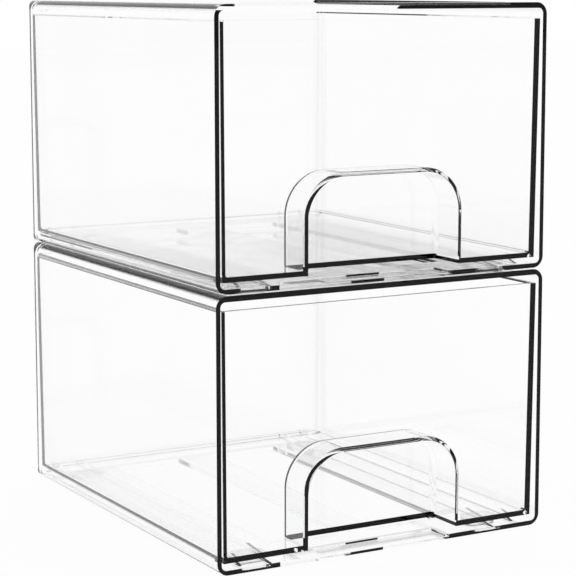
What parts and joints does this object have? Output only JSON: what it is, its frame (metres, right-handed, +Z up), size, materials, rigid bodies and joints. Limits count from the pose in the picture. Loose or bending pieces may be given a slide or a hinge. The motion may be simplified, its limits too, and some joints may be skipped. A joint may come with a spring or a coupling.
{
  "type": "stackable drawer box",
  "caption": "Stack of clear plastic drawer boxes: each open-fronted case holds a slide-out drawer with an arched finger recess and stands on pads in the sunk roof below.",
  "frame": {"origin": "under the middle of the footprint, on the surface that the lower pads stand on", "axes": "+X across the front to the right, +Y from the drawer fronts to the back, +Z up"},
  "size_m": [0.158, 0.19, 0.2277],
  "materials": {
    "case": "clear, polished",
    "drawer": "clear, polished",
    "pad": "soft, translucent"
  },
  "bodies": {
    "lower_case": {"lower_case": "case", "lower_pad_front_left": "pad", "lower_pad_front_right": "pad", "lower_pad_back_left": "pad", "lower_pad_back_right": "pad"},
    "lower_drawer": {"lower_drawer": "drawer"},
    "upper_case": {"upper_case": "case", "upper_pad_front_left": "pad", "upper_pad_front_right": "pad", "upper_pad_back_left": "pad", "upper_pad_back_right": "pad"},
    "upper_drawer": {"upper_drawer": "drawer"}
  },
  "joints": [
    {"name": "lower_drawer_slide", "type": "slide", "parent": "lower_case", "child": "lower_drawer", "axis": [0, -1, 0], "range_m": [0, 0.16]},
    {"name": "upper_case_lift", "type": "slide", "parent": "lower_case", "child": "upper_case", "axis": [0, 0, 1], "range_m": [0, 0.05]},
    {"name": "upper_drawer_slide", "type": "slide", "parent": "upper_case", "child": "upper_drawer", "axis": [0, -1, 0], "range_m": [0, 0.16]}
  ]
}
